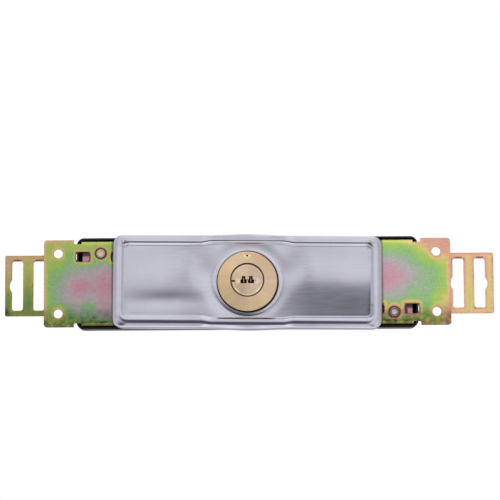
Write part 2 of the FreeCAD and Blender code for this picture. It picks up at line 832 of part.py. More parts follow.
def right_tongue():
    """Its rack runs over the pinion, half a tooth further out, as the pinion's teeth are odd in number."""
    shape = tongue(1, right_end_bar)
    shape.translate(Vector(tooth_pitch / 2.0, 0, 0))
    return shape


# Guide blocks and rivets

def guide_block(x, z):
    side = math.copysign(1, z)
    half = block_length / 2.0
    pad = block_pad / 2.0
    low, high = side * guide_z, side * (guide_z + block_height)
    shapes = [block(x - half, x + half, block_step, floor_front, low, high),
              block(x - pad, x + pad, 0.0, block_step, low, high)]
    return fuse(shapes).cut(disc(rivet_diameter + 2 * turn_fit, 0.0, floor_front, x, z))


def rivet(x, z):
    seat = plate_front + rivet_pocket_depth
    top = plate_front - rivet_dome / 2.0
    head = disc(rivet_head, top, seat, x, z)
    head = head.makeChamfer(rivet_dome, edges_at(head, top))
    tail = disc(rivet_tail, floor_rear, floor_rear + rivet_tail_height, x, z)
    tail = tail.makeChamfer(rivet_tail_height / 2.0, edges_at(tail, floor_rear + rivet_tail_height))
    shank = disc(rivet_diameter, seat, floor_rear, x, z)
    return fuse([head, shank, tail]).cut(punched(rivet_dimple, rivet_dimple_depth, top, x, z))


# Write one file for each piece

def build():
    save("front_plate", front_plate())
    save("rear_cover", rear_cover())
    save("face_cover", face_cover())
    save("cylinder_body", cylinder_body())
    save("cylinder_spacer", cylinder_spacer())
    save("cylinder_plug", cylinder_plug())
    save("key_pins", key_pins())
    save("driver_pins", driver_pins())
    save("pin_springs", pin_springs())
    save("pin_cover_strip", pin_cover_strip())
    save("anti_drill_pin", anti_drill_pin())
    save("cylinder_nut", cylinder_nut())
    save("nut_washer", nut_washer())
    save("pinion", pinion())
    save("thrust_washer", thrust_washer())
    save("rear_bush", rear_bush())
    save("plug_clip", plug_clip())
    save("left_tongue", left_tongue())
    save("right_tongue", right_tongue())
    for side, (x, z) in rivet_places().items():
        save(side + "_guide_block", guide_block(x, z))
        save(side + "_rivet", rivet(x, z))


build()
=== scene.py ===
# %% [markdown]
# A roller garage door lock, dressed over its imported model. The lock is a folded steel plate
# with an ear at each end, a black box behind it, a drawn polished cover with a brass cylinder
# in its middle, and two slotted tongues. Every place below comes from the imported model, so a
# finish or a finer mesh lands exactly on the piece that it belongs to.

# %% Load the model
import json
import math

import bmesh
import bpy
import numpy as np
from mathutils import Matrix, Vector, noise


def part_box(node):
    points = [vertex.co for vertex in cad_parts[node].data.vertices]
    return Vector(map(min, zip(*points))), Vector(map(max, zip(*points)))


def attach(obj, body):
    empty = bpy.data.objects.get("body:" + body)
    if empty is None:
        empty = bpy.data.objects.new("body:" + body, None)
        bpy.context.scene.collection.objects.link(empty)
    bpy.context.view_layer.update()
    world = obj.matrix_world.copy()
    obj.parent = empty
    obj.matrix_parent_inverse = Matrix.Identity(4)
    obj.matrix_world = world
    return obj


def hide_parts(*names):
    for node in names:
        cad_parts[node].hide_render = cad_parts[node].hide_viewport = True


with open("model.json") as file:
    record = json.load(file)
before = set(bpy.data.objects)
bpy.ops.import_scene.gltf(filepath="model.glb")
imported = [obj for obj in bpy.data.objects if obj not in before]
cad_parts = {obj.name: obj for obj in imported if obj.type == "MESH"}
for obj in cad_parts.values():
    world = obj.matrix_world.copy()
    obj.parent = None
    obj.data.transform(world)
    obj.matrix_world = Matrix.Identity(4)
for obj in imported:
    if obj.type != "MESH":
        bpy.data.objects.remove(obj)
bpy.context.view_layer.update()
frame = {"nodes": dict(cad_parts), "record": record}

MM = 0.001
record = frame["record"]
body_of = {node: body for body, nodes in record["behaviour"]["bodies"].items() for node in nodes}

# %% [markdown]
# The photograph was taken from a little below the lock, with a long lens, so the lower edges
# show and the long edges stay almost parallel. The camera is placed by its distance and its
# angle below the face, aimed at the point of the plate that lies in the middle of the picture,
# and rolled by the small angle at which the lock lies in the picture.

# %% Camera
VIEW_DISTANCE = 1270 * MM
VIEW_BELOW = math.radians(6.5)
VIEW_ROLL = math.radians(0.39)
FRAME_WIDTH = 311.5 * MM
AIM = Vector((1.8, 0, 20.45)) * MM
SENSOR = 36.0


def place_camera():
    forward = Vector((0, math.cos(VIEW_BELOW), math.sin(VIEW_BELOW)))
    right = Vector((1, 0, 0))
    up = right.cross(forward)
    rolled_right = right * math.cos(VIEW_ROLL) - up * math.sin(VIEW_ROLL)
    rolled_up = right * math.sin(VIEW_ROLL) + up * math.cos(VIEW_ROLL)
    turn = Matrix((rolled_right, rolled_up, -forward)).transposed().to_4x4()
    data = bpy.data.cameras.new("camera")
    data.sensor_width = SENSOR
    data.lens = SENSOR * VIEW_DISTANCE / FRAME_WIDTH
    data.clip_end = 20
    camera = bpy.data.objects.new("camera", data)
    camera.matrix_world = Matrix.Translation(AIM - forward * VIEW_DISTANCE) @ turn
    bpy.context.scene.collection.objects.link(camera)
    bpy.context.scene.camera = camera
    print("lens mm:", round(data.lens, 1))


place_camera()

# %% [markdown]
# Node trees are easier to read when a node, its settings and its inputs stand in one line.
# `put` adds a node and joins or sets its inputs, `calc` adds a maths node and `span` maps one
# range of values onto another. The short names after them stand for sums that come up often.

# %% Helpers for sums
def join(tree, socket, value):
    """Link a socket to another node's output, or set it to a plain value."""
    if isinstance(value, bpy.types.NodeSocket):
        tree.links.new(value, socket)
    else:
        socket.default_value = value


def put(tree, kind, inputs=None, **settings):
    made = tree.nodes.new("ShaderNode" + kind)
    for name, value in settings.items():
        setattr(made, name, value)
    for key, value in (inputs or {}).items():
        join(tree, made.inputs[key], value)
    return made


def calc(tree, operation, *values, clamp=False):
    return put(tree, "Math", dict(enumerate(values)), operation=operation, use_clamp=clamp).outputs[0]


def chain(tree, operation, values):
    result = values[0]
    for value in values[1:]:
        result = calc(tree, operation, result, value)
    return result


def plus(tree, *values):
    return chain(tree, "ADD", values)


def minus(tree, *values):
    return chain(tree, "SUBTRACT", values)


def times(tree, *values):
    return chain(tree, "MULTIPLY", values)


def largest(tree, *values):
    return chain(tree, "MAXIMUM", values)


def smallest(tree, *values):
    return chain(tree, "MINIMUM", values)


def apart(tree, value, middle=None):
    """How far a value lies from a middle, or from 0, on either side."""
    return calc(tree, "ABSOLUTE", value if middle is None else minus(tree, value, middle))


def length(tree, a, b):
    """Length of a line from its two parts at right angles."""
    return calc(tree, "SQRT", plus(tree, times(tree, a, a), times(tree, b, b)))


def span(tree, value, low, high, to_low=0.0, to_high=1.0, smooth=False):
    kind = "SMOOTHSTEP" if smooth else "LINEAR"
    made = put(tree, "MapRange", {0: value, 1: low, 2: high, 3: to_low, 4: to_high}, interpolation_type=kind)
    return made.outputs[0]


def near(tree, distance, reach, core, strength=1.0, smooth=False):
    """The full strength within the core, and nothing from the reach outwards."""
    return span(tree, distance, reach, core, 0.0, strength, smooth)


print("sums ready")

# %% [markdown]
# The next helpers work on vectors, noise and colours, and open a material or a node group
# with named inputs and outputs. A group passes on colours and plain values only, so each
# material keeps its own shader.

# %% Helpers for vectors, colours and groups
NOISE_RANGE = (0.3, 0.7)


def vector_calc(tree, operation, *values, output=0):
    return put(tree, "VectorMath", dict(enumerate(values)), operation=operation).outputs[output]


def split(tree, vector):
    return put(tree, "SeparateXYZ", {0: vector}).outputs


def noise_value(tree, point, scale, detail=2.0, roughness=0.5):
    made = put(tree, "TexNoise", {"Vector": point, "Scale": scale, "Detail": detail, "Roughness": roughness})
    return made.outputs["Fac"]


def vary(tree, cloud, low, high):
    """Noise lies mostly between 0.3 and 0.7, and this spreads it from low to high."""
    return span(tree, cloud, *NOISE_RANGE, low, high)


def mix(tree, share, first, second):
    return put(tree, "Mix", {0: share, 2: first, 3: second}).outputs[0]


def mix_colours(tree, share, first, second):
    return put(tree, "Mix", {0: share, 6: first, 7: second}, data_type="RGBA").outputs[2]


def grey(tree, tone):
    return put(tree, "CombineXYZ", {0: tone, 1: tone, 2: tone}).outputs[0]


def tinted(tree, tone, tint):
    """A colour from a brightness and its shares of red, green and blue."""
    parts = {index: times(tree, tone, share) for index, share in enumerate(tint)}
    return put(tree, "CombineXYZ", parts).outputs[0]


def colour_ramp(tree, value, stops, interpolation="LINEAR"):
    """stops are (place, (red, green, blue)); a new ramp already has the first two."""
    made = put(tree, "ValToRGB", {0: value})
    made.color_ramp.interpolation = interpolation
    elements = made.color_ramp.elements
    for index, (place, colour) in enumerate(stops):
        element = elements[index] if index < 2 else elements.new(place)
        element.position = place
        element.color = (*colour, 1)
    return made.outputs[0]


def bump(tree, height, strength, depth):
    return put(tree, "Bump", {"Height": height, "Strength": strength, "Distance": depth}).outputs[0]


def new_group(name, inputs, outputs):
    """inputs are (name, kind, default) and outputs (name, kind), with kind Float, Vector or Color."""
    tree = bpy.data.node_groups.new(name, "ShaderNodeTree")
    for label, kind, default in inputs:
        socket = tree.interface.new_socket(name=label, in_out="INPUT", socket_type="NodeSocket" + kind)
        socket.default_value = default
    for label, kind in outputs:
        tree.interface.new_socket(name=label, in_out="OUTPUT", socket_type="NodeSocket" + kind)
    source = tree.nodes.new("NodeGroupInput").outputs
    sink = tree.nodes.new("NodeGroupOutput").inputs
    return tree, source, sink


def use_group(tree, group, inputs):
    made = tree.nodes.new("ShaderNodeGroup")
    made.node_tree = group
    for key, value in inputs.items():
        join(tree, made.inputs[key], value)
    return made.outputs


def new_material(name):
    material = bpy.data.materials.new(name)
    material.use_nodes = True
    tree = material.node_tree
    tree.nodes.clear()
    shader = put(tree, "BsdfPrincipled")
    output = put(tree, "OutputMaterial")
    tree.links.new(shader.outputs[0], output.inputs[0])
    point = put(tree, "TexCoord").outputs["Object"]
    return material, tree, shader, point


def feed(tree, shader, **sockets):
    for name, value in sockets.items():
        join(tree, shader.inputs[name.replace("_", " ")], value)


print("node helpers ready")

# %% [markdown]
# The studio is white all round, as in the photograph, so rays from the camera see plain white.
# Polished metal shows what it mirrors, so mirrored rays see a bright room instead, dimmer to
# the sides and with a slim, slightly darker column in its middle. In front and a little below
# the lock, about where the camera stands, it has a soft dark patch, and behind the lock a
# fainter one. Every edge that turns past the front patch gets a dark line, and the panel shades
# off towards it. The floor and the lamps are hidden from mirrored rays, or they would cover it.

# %% Studio: the room
# (how far up, brightness), from straight down at -1 to straight up at 1
ROOM_LEVELS = ((-1.0, 0.75), (-0.9, 0.85), (-0.7, 1.1), (-0.5, 1.35), (-0.25, 1.0), (0.2, 1.0), (1.0, 1.1))
DARK_PATCH = (-0.05, -0.983, -0.178)
PATCH_INNER, PATCH_OUTER, PATCH_LEVEL = 0.11, 0.32, 0.11
BACK_PATCH = (0.0, 0.8, -0.6)
BACK_INNER, BACK_OUTER, BACK_LEVEL = 0.4, 1.0, 0.5
COLUMN_INNER, COLUMN_OUTER, COLUMN_LEVEL = 0.015, 0.04, 0.82
SIDE_START, SIDE_END, SIDE_LEVEL = 0.2, 0.5, 0.68
SOFT_LEVEL = 0.55
WHITE = (1, 1, 1, 1)


def background(tree, colour, strength):
    return put(tree, "Background", {"Color": colour, "Strength": strength}).outputs[0]


def build_world():
    world = bpy.data.worlds.new("studio")
    bpy.context.scene.world = world
    world.use_nodes = True
    tree = world.node_tree
    tree.nodes.clear()
    rays = put(tree, "LightPath").outputs
    direction = put(tree, "TexCoord").outputs["Generated"]
    x, _, z = split(tree, direction)
    stops = [((place + 1) / 2, (level, level, level)) for place, level in ROOM_LEVELS]
    height_level = colour_ramp(tree, span(tree, z, -1.0, 1.0), stops)
    from_patch = vector_calc(tree, "DISTANCE", direction, DARK_PATCH, output=1)
    patch = span(tree, from_patch, PATCH_INNER, PATCH_OUTER, PATCH_LEVEL, 1.0, smooth=True)
    from_back = vector_calc(tree, "DISTANCE", direction, BACK_PATCH, output=1)
    back = span(tree, from_back, BACK_INNER, BACK_OUTER, BACK_LEVEL, 1.0, smooth=True)
    aside = apart(tree, x)
    sides = span(tree, aside, SIDE_START, SIDE_END, 1.0, SIDE_LEVEL)
    column = span(tree, aside, COLUMN_INNER, COLUMN_OUTER, COLUMN_LEVEL, 1.0, smooth=True)
    level = times(tree, height_level, patch, back, sides, column)
    blue = calc(tree, "MULTIPLY_ADD", level, 1.02, 0.03)
    room_colour = put(tree, "CombineColor", {0: level, 1: level, 2: blue}).outputs[0]
    plain = background(tree, WHITE, 1.0)
    soft = background(tree, WHITE, SOFT_LEVEL)
    room = background(tree, room_colour, 1.0)
    unseen = put(tree, "MixShader", {0: rays["Is Glossy Ray"], 1: soft, 2: room}).outputs[0]
    seen = largest(tree, rays["Is Camera Ray"], rays["Is Transmission Ray"])
    final = put(tree, "MixShader", {0: seen, 1: unseen, 2: plain}).outputs[0]
    output = put(tree, "OutputWorld")
    tree.links.new(final, output.inputs[0])


build_world()
print("room levels:", len(ROOM_LEVELS))

# %% Studio: lamps and floor
FLOOR_LEVEL = -200 * MM
FLOOR_HALF = 1.5


def area_lamp(name, place, size, watts):
    data = bpy.data.lights.new(name, "AREA")
    data.shape = "SQUARE"
    data.size = size
    data.energy = watts
    lamp = bpy.data.objects.new(name, data)
    lamp.location = place
    lamp.rotation_euler = (-Vector(place)).to_track_quat("-Z", "Y").to_euler()
    lamp.visible_glossy = False
    bpy.context.scene.collection.objects.link(lamp)


def build_floor():
    mesh = bpy.data.meshes.new("floor")
    signs = ((-1, -1), (1, -1), (1, 1), (-1, 1))
    corners = [(across * FLOOR_HALF, along * FLOOR_HALF, FLOOR_LEVEL) for across, along in signs]
    mesh.from_pydata(corners, [], [(0, 1, 2, 3)])
    floor = bpy.data.objects.new("floor", mesh)
    bpy.context.scene.collection.objects.link(floor)
    material, tree, shader, point = new_material("pale floor")
    tone = vary(tree, noise_value(tree, point, 300.0), 0.78, 0.82)
    feed(tree, shader, Base_Color=grey(tree, tone), Roughness=0.6)
    mesh.materials.append(material)
    floor.visible_glossy = False


area_lamp("key", (-0.4, -0.8, 1.2), 1.0, 4.0)
area_lamp("back", (0.0, 1.1, 0.8), 1.0, 4.0)
build_floor()
bpy.context.scene.view_settings.view_transform = "Standard"
print("lamps:", len(bpy.data.lights))

# %% [markdown]
# Yellow passivated zinc is a clear film over bright zinc. Its colour is interference, so it
# follows the film's thickness: pink and orange where it is thinnest, along edges and holes,
# then yellow, green, grey and rose. `film colour` turns a thickness from 0 to 1 into that
# colour, with the mottling of the bath and the lines of the rolled sheet.

# %% Shared effects: film colour
FILM_STOPS = (
    (0.00, (0.56, 0.27, 0.22)),
    (0.10, (0.60, 0.36, 0.20)),
    (0.22, (0.56, 0.48, 0.16)),
    (0.34, (0.42, 0.46, 0.11)),
    (0.46, (0.24, 0.45, 0.11)),
    (0.56, (0.24, 0.40, 0.20)),
    (0.66, (0.33, 0.36, 0.29)),
    (0.78, (0.42, 0.33, 0.34)),
    (0.90, (0.46, 0.28, 0.31)),
    (1.00, (0.49, 0.23, 0.27)),
)
# One dark colour, used for real dirt and for painted shade alike.
DIRT_AND_SHADE_COLOUR = (0.035, 0.032, 0.02, 1)


def film_group():
    tree, source, sink = new_group(
        "film colour",
        [("Point", "Vector", (0, 0, 0)), ("Film", "Float", 0.5), ("Mottle", "Float", 0.1),
         ("Level", "Float", 1.0)],
        [("Color", "Color"), ("Roughness", "Float"), ("Height", "Float")])
    clouds = noise_value(tree, source["Point"], 130.0, 3.0, 0.55)
    specks = noise_value(tree, source["Point"], 900.0, 2.0, 0.6)
    along = vector_calc(tree, "MULTIPLY", source["Point"], (0.04, 1.0, 1.0))
    lines = noise_value(tree, along, 2200.0, 2.0, 0.6)
    blend = calc(tree, "MULTIPLY_ADD", clouds, 1.3, times(tree, specks, 0.7))
    shift = times(tree, minus(tree, blend, 1.0), source["Mottle"])
    film = calc(tree, "ADD", source["Film"], shift, clamp=True)
    colour = colour_ramp(tree, film, FILM_STOPS, "B_SPLINE")
    tone = times(tree, vary(tree, specks, 0.88, 1.08), vary(tree, lines, 0.95, 1.04), source["Level"])
    tree.links.new(vector_calc(tree, "MULTIPLY", colour, grey(tree, tone)), sink["Color"])
    tree.links.new(vary(tree, specks, 0.30, 0.46), sink["Roughness"])
    tree.links.new(plus(tree, times(tree, specks, 0.6), times(tree, lines, 0.4)), sink["Height"])
    return tree


FILM = film_group()


# dirt_and_shade mixes in the dark colour where there is real dirt and where shade is painted.
def film_finish(tree, shader, point, film, mottle, level, dirt_and_shade):
    found = use_group(tree, FILM, {"Point": point, "Film": film, "Mottle": mottle, "Level": level})
    normal = bump(tree, found["Height"], 0.25, 0.02 * MM)
    colour = mix_colours(tree, dirt_and_shade, found["Color"], DIRT_AND_SHADE_COLOUR)
    feed(tree, shader, Base_Color=colour, Roughness=found["Roughness"], Metallic=1.0, Normal=normal)


def dark_specks(tree, point, strength):
    return span(tree, noise_value(tree, point, 1500.0, 2.0, 0.6), 0.66, 0.74, 0.0, strength)


print("film stops:", len(FILM_STOPS))

# %% [markdown]
# The film thins towards every edge, so the plates need to know how far a point is from one.
# `box distance` gives the distance from a rectangle in front view, less than 0 inside it, and
# `film_curve` turns a distance into a thickness.

# %% Shared effects: distance from edges
def box_distance_group():
    tree, source, sink = new_group(
        "box distance",
        [("X", "Float", 0.0), ("Z", "Float", 0.0), ("Half X", "Float", 1.0), ("Half Z", "Float", 1.0)],
        [("Distance", "Float")])
    over_x = minus(tree, apart(tree, source["X"]), source["Half X"])
    over_z = minus(tree, apart(tree, source["Z"]), source["Half Z"])
    outside = length(tree, largest(tree, over_x, 0.0), largest(tree, over_z, 0.0))
    inside = smallest(tree, largest(tree, over_x, over_z), 0.0)
    tree.links.new(plus(tree, outside, inside), sink["Distance"])
    return tree


BOX_DISTANCE = box_distance_group()


def box_distance(tree, x, z, half_x, half_z):
    return use_group(tree, BOX_DISTANCE, {"X": x, "Z": z, "Half X": half_x, "Half Z": half_z})["Distance"]


def disc_distance(tree, x, z, radius):
    return minus(tree, length(tree, x, z), radius)


def spot_distance(tree, x, z, middle_x, middle_z):
    return length(tree, minus(tree, x, middle_x), minus(tree, z, middle_z))


def film_curve(tree, distance, reach, points):
    """Film thickness from a distance, through points of (distance, film), the first and last one first."""
    made = put(tree, "FloatCurve", {"Value": calc(tree, "DIVIDE", distance, reach, clamp=True)})
    curve = made.mapping.curves[0]
    for index, (place, film) in enumerate(points):
        if index < 2:
            curve.points[index].location = (place / reach, film)
        else:
            curve.points.new(place / reach, film)
    made.mapping.update()
    return made.outputs[0]


print("distance groups ready")

# %% [markdown]
# The front plate: on each side the film is thickest, rose, beside the cover and thins outwards
# through grey and green in bent bands. Thin orange rims run round the plate's outline, holes,
# windows and rivets. The right side's film is thinner, so its outer corner is salmon. A few
# soft patches, thicker or thinner, break up the bands, and dirt has settled low down. Light is
# painted in as well: the right side brighter, the lower part darker, and painted shade beside
# the cover, along the lower fold, at the channel's lower edge, on the windows' edges and round
# the rivets.

# %% The plate's places and bands, distances in millimetres
plate_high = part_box("front_plate")[1]
HOLES = record["mounts"][0]["dims"]
RIVET = (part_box("right_rivet")[0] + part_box("right_rivet")[1]) / 2
RIVET_POCKET = 3.45 * MM
WINDOW_Z = 16.75 * MM
WINDOW_SPACING = 11.05 * MM
WINDOW_HALF = (4.4 * MM, 3.05 * MM)
CHANNEL_END = 103 * MM
SPLIT_HALF = 40 * MM
# middle x and z, half size across, half size up, half size down
LEFT_BLOB = (-84.0, -3.5, 36.0, 17.0, 17.0)
RIGHT_BLOB = (84.0, 3.0, 36.0, 20.5, 30.0)
# middle x and z, reach, change of film
FILM_PATCHES = ((-107.0, -2.0, 8.0, 0.16), (-97.0, -12.5, 8.0, -0.26), (114.0, -10.0, 8.0, 0.12),
                (117.0, -22.5, 12.0, 0.2))
BAND_REACH, RIM_REACH = 2.0, 6.0
LEFT_BANDS = ((0.0, 0.98), (2.0, 0.38), (0.45, 0.88), (0.7, 0.78), (0.88, 0.68), (1.05, 0.58), (1.3, 0.46),
              (1.6, 0.36))
RIGHT_BANDS = ((0.0, 0.95), (2.0, 0.0), (0.25, 0.88), (0.42, 0.75), (0.62, 0.64), (0.80, 0.54), (0.95, 0.45),
               (1.08, 0.36), (1.20, 0.22), (1.36, 0.05))
LEFT_RIM = ((0.0, 0.02), (6.0, 1.0), (0.5, 0.12), (1.2, 0.28), (2.4, 0.42), (4.0, 0.60))
RIGHT_RIM = ((0.0, 0.0), (6.0, 1.0), (0.8, 0.06), (1.8, 0.20), (3.0, 0.38), (4.5, 0.60))


def blob_distance(tree, x, z, blob):
    """Distance from a blob's middle in its own half sizes, 1 on its rim; up and down may differ."""
    middle_x, middle_z, half_x, half_up, half_down = blob
    across = calc(tree, "DIVIDE", minus(tree, x, middle_x * MM), half_x * MM)
    up = minus(tree, z, middle_z * MM)
    above = calc(tree, "DIVIDE", largest(tree, up, 0.0), half_up * MM)
    below = calc(tree, "DIVIDE", smallest(tree, up, 0.0), half_down * MM)
    return length(tree, across, plus(tree, above, below))


def past_rivet(tree, x):
    """How far out along the lock a point lies from the nearer rivet."""
    return minus(tree, apart(tree, x), RIVET.x)


def turned_height(tree, x, z):
    """Height, turned over on the right: each half of the lock is the other one turned half round."""
    return times(tree, z, times(tree, calc(tree, "SIGN", x), -1.0))


def on_channel(tree, side):
    """1 on the folded channel behind the cover and 0 on the ears, from the distance to the middle."""
    return near(tree, side, CHANNEL_END, CHANNEL_END - MM)


def left_to_right(tree, x, left_value, right_value):
    """One value on the left side of the lock and another on the right."""
    return span(tree, x, -SPLIT_HALF, SPLIT_HALF, left_value, right_value)


print("film patches:", len(FILM_PATCHES), "rivet at mm:", [round(value / MM, 2) for value in RIVET])

# %% Passivated plate
PLATE_MOTTLE = 0.17
FOLD_FILM = 0.33
# Painted light: the brightness of the plate's left and right sides.
LEFT_PAINTED_LIGHT, RIGHT_PAINTED_LIGHT = 1.28, 1.62
BEND_SCALE = 55.0
BEND_REACH = (22 * MM, 0.0, 16 * MM)
LOWER_FOLD = -24.2 * MM
SHADE_START, SHADE_END = 83.5 * MM, 84.9 * MM


def plate_dirt_and_shade(tree, point, x, z):
    """Dark specks and dirt low down, painted shade beside the cover and at the channel's lower edge, and
    painted shade with smudges of dirt along the lower fold.
    """
    side = apart(tree, x)
    specks = dark_specks(tree, point, 0.5)
    patches = noise_value(tree, point, 240.0, 4.0, 0.7)
    # Painted shade along the lower fold, where the bend turns away, broken into smudges that also stand for
    # dirt.
    from_fold = apart(tree, z, LOWER_FOLD)
    from_fold = plus(tree, from_fold, span(tree, side, CHANNEL_END - MM, CHANNEL_END, 0.0, 2 * MM))
    fold = times(tree, near(tree, from_fold, 1.8 * MM, 0.4 * MM, smooth=True),
                 span(tree, patches, 0.35, 0.6, 0.25, 0.9))
    low = times(tree, span(tree, z, -15 * MM, -24 * MM), span(tree, patches, 0.40, 0.62, 0.1, 0.78))
    # Painted shadow beside the cover's ends.
    beside = near(tree, side, SHADE_END, SHADE_START, 0.8)
    # Painted shade where the channel bends back at its lower edge.
    under = times(tree, span(tree, z, -24.6 * MM, -25.6 * MM, 0.0, 0.55), on_channel(tree, side))
    return largest(tree, specks, fold, low, beside, under)


def side_film(tree, x, z, rim, blob, bands, rim_points):
    """The film on one side of the plate: bands round a blob, thinner again along every rim."""
    inner = film_curve(tree, blob_distance(tree, x, z, blob), BAND_REACH, bands)
    return smallest(tree, inner, film_curve(tree, calc(tree, "DIVIDE", rim, MM), RIM_REACH, rim_points))


def plate_material():
    material, tree, shader, point = new_material("passivated plate")
    x, _, z = split(tree, point)
    side, rise = apart(tree, x), apart(tree, z)
    edge = times(tree, box_distance(tree, x, z, plate_high.x, plate_high.z), -1.0)
    hole = disc_distance(tree, minus(tree, side, HOLES["spacing_x_mm"] * MM / 2),
                         minus(tree, rise, HOLES["spacing_y_mm"] * MM / 2), HOLES["hole_r_mm"] * MM)
    across, turned = past_rivet(tree, x), turned_height(tree, x, z)
    pocket = disc_distance(tree, across, plus(tree, turned, RIVET.z), RIVET_POCKET)
    window = box_distance(tree, minus(tree, apart(tree, across), WINDOW_SPACING),
                          minus(tree, turned, WINDOW_Z), *WINDOW_HALF)
    rim = smallest(tree, edge, hole, times(tree, smallest(tree, pocket, window), 1.3))
    bend = put(tree, "TexNoise", {"Vector": point, "Scale": BEND_SCALE, "Detail": 2.0}).outputs["Color"]
    centred = vector_calc(tree, "SUBTRACT", bend, (0.5, 0.5, 0.5))
    shift = vector_calc(tree, "MULTIPLY", centred, BEND_REACH)
    bent_x, _, bent_z = split(tree, vector_calc(tree, "ADD", point, shift))
    left = side_film(tree, bent_x, bent_z, rim, LEFT_BLOB, LEFT_BANDS, LEFT_RIM)
    right = side_film(tree, bent_x, bent_z, rim, RIGHT_BLOB, RIGHT_BANDS, RIGHT_RIM)
    right_side = span(tree, x, -SPLIT_HALF, SPLIT_HALF, smooth=True)
    film = mix(tree, right_side, left, right)
    for middle_x, middle_z, reach, change in FILM_PATCHES:
        away = spot_distance(tree, bent_x, bent_z, middle_x * MM, middle_z * MM)
        film = plus(tree, film, near(tree, away, reach * MM, 0.0, change, smooth=True))
    fold = times(tree, span(tree, rise, 24.3 * MM, 25.0 * MM, 0.0, 0.8), on_channel(tree, side))
    film = mix(tree, fold, film, FOLD_FILM)
    # Painted light: the right side is painted brighter than the left, and the plate darker towards its lower
    # edge.
    level = times(tree, span(tree, right_side, 0.0, 1.0, LEFT_PAINTED_LIGHT, RIGHT_PAINTED_LIGHT),
                  span(tree, z, -25 * MM, -9 * MM, 0.66, 1.0, smooth=True))
    # Painted shade in the groove round each rivet pocket and on the windows' inner edges.
    groove_shade = times(tree, near(tree, apart(tree, pocket, -0.4 * MM), 0.7 * MM, 0.3 * MM), 0.85)
    bevel = times(tree, near(tree, apart(tree, window, -0.2 * MM), 0.5 * MM, 0.2 * MM), 0.75)
    dirt_and_shade = largest(tree, groove_shade, bevel, plate_dirt_and_shade(tree, point, x, z))
    film_finish(tree, shader, point, film, PLATE_MOTTLE, level, dirt_and_shade)
    return material


PLATE = plate_material()
print("plate bands:", len(LEFT_BANDS), "left and", len(RIGHT_BANDS), "right")

# %% [markdown]
# The tongues carry the same film. Each has two tall slots with thin orange rims, a short painted
# shade above each slot where its upper wall is seen in shade, and worn, dirty edges. The left
# one's film is thicker, and it is painted darker towards its lower edge and brighter towards its
# upper one; the right one is painted brighter.

# %% Passivated tongues, sizes in millimetres
SLOT_HALF = (3.525, 15.55)
SLOT_OFFSET = 6.7
HEAD_LENGTH = 25.4
SLOT_SHADE_Z = 16.1
SLOT_SHADE_HALF = (1.9, 0.1)
LEFT_TONGUE_BANDS = ((0.0, 0.10), (6.0, 0.48), (0.6, 0.26), (1.6, 0.36), (3.2, 0.41))
RIGHT_TONGUE_BANDS = ((0.0, 0.02), (6.0, 0.30), (1.0, 0.06), (2.0, 0.16), (3.2, 0.25))


def tongue_wear_and_shade(tree, point, z, outer_gap, distance, from_slots, top, shade):
    """Dirt and painted shade on a tongue: specks, worn rims, the lower outer corner darkened in patches as
    far as the shade allows, and painted shade above each slot.
    """
    clouds = noise_value(tree, point, 160.0, 4.0, 0.7)
    specks = dark_specks(tree, point, 0.4)
    rims = times(tree, near(tree, distance, 0.9 * MM, 0.2 * MM), span(tree, clouds, 0.54, 0.66, 0.0, 0.75))
    corner = plus(tree, span(tree, z, -12 * MM, -top), near(tree, outer_gap, 6 * MM, 0.0))
    corner = times(tree, span(tree, corner, 0.9, 1.5), span(tree, clouds, 0.4, 0.56, 0.2, 0.9),
                   min(1.0, shade * 5))
    # Painted shade just above each slot, where its upper wall is seen in shade.
    half_x, half_z = (half * MM for half in SLOT_SHADE_HALF)
    slot_top_shade = box_distance(tree, from_slots, minus(tree, z, SLOT_SHADE_Z * MM), half_x, half_z)
    slot_top_shade = near(tree, slot_top_shade, 0.55 * MM, 0.15 * MM, 0.7)
    return largest(tree, specks, rims, corner, slot_top_shade)


def tongue_material(node, end_bar, bands, mottle, level, shade):
    """Film, wear and painted light on a tongue, whose lower edge is painted darker and upper edge brighter
    by the shade.
    """
    low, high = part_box(node)
    outer = low.x if abs(low.x) > abs(high.x) else high.x
    sign = math.copysign(1, outer)
    slots_middle = outer - sign * (end_bar + SLOT_HALF[0] + SLOT_OFFSET) * MM
    half_head = (HEAD_LENGTH + end_bar) / 2 * MM
    material, tree, shader, point = new_material("passivated " + node)
    x, _, z = split(tree, point)
    from_slots = minus(tree, apart(tree, x, slots_middle), SLOT_OFFSET * MM)
    slot = box_distance(tree, from_slots, z, SLOT_HALF[0] * MM, SLOT_HALF[1] * MM)
    edge = box_distance(tree, minus(tree, x, outer - sign * half_head), z, half_head, high.z)
    distance = smallest(tree, slot, apart(tree, edge))
    dirt_and_shade = tongue_wear_and_shade(tree, point, z, apart(tree, x, outer), distance, from_slots, high.z, shade)
    slow = noise_value(tree, point, 70.0, 2.0, 0.5)
    slow = span(tree, slow, 0.4, 0.6, -0.1 * shade, -0.7 * shade, smooth=True)
    film = plus(tree, film_curve(tree, calc(tree, "DIVIDE", distance, MM), RIM_REACH, bands),
                times(tree, slow, span(tree, z, -10 * MM, 8 * MM)),
                times(tree, span(tree, z, 6 * MM, -10 * MM, smooth=True), 0.06))
    # Painted light: darker towards the lower edge and brighter towards the upper one, by the shade.
    level = times(tree, span(tree, z, -12 * MM, 12 * MM, 1.0 - shade, 1.0 + shade), level)
    film_finish(tree, shader, point, film, mottle, level, dirt_and_shade)
    return material


# Painted light: the right tongue's higher level paints it brighter than the left one.
LEFT_TONGUE = tongue_material("left_tongue", 4.2, LEFT_TONGUE_BANDS, mottle=0.18, level=0.92, shade=0.25)
RIGHT_TONGUE = tongue_material("right_tongue", 5.2, RIGHT_TONGUE_BANDS, mottle=0.06, level=1.66, shade=0.0)
print("tongue finishes:", LEFT_TONGUE.name, "and", RIGHT_TONGUE.name)

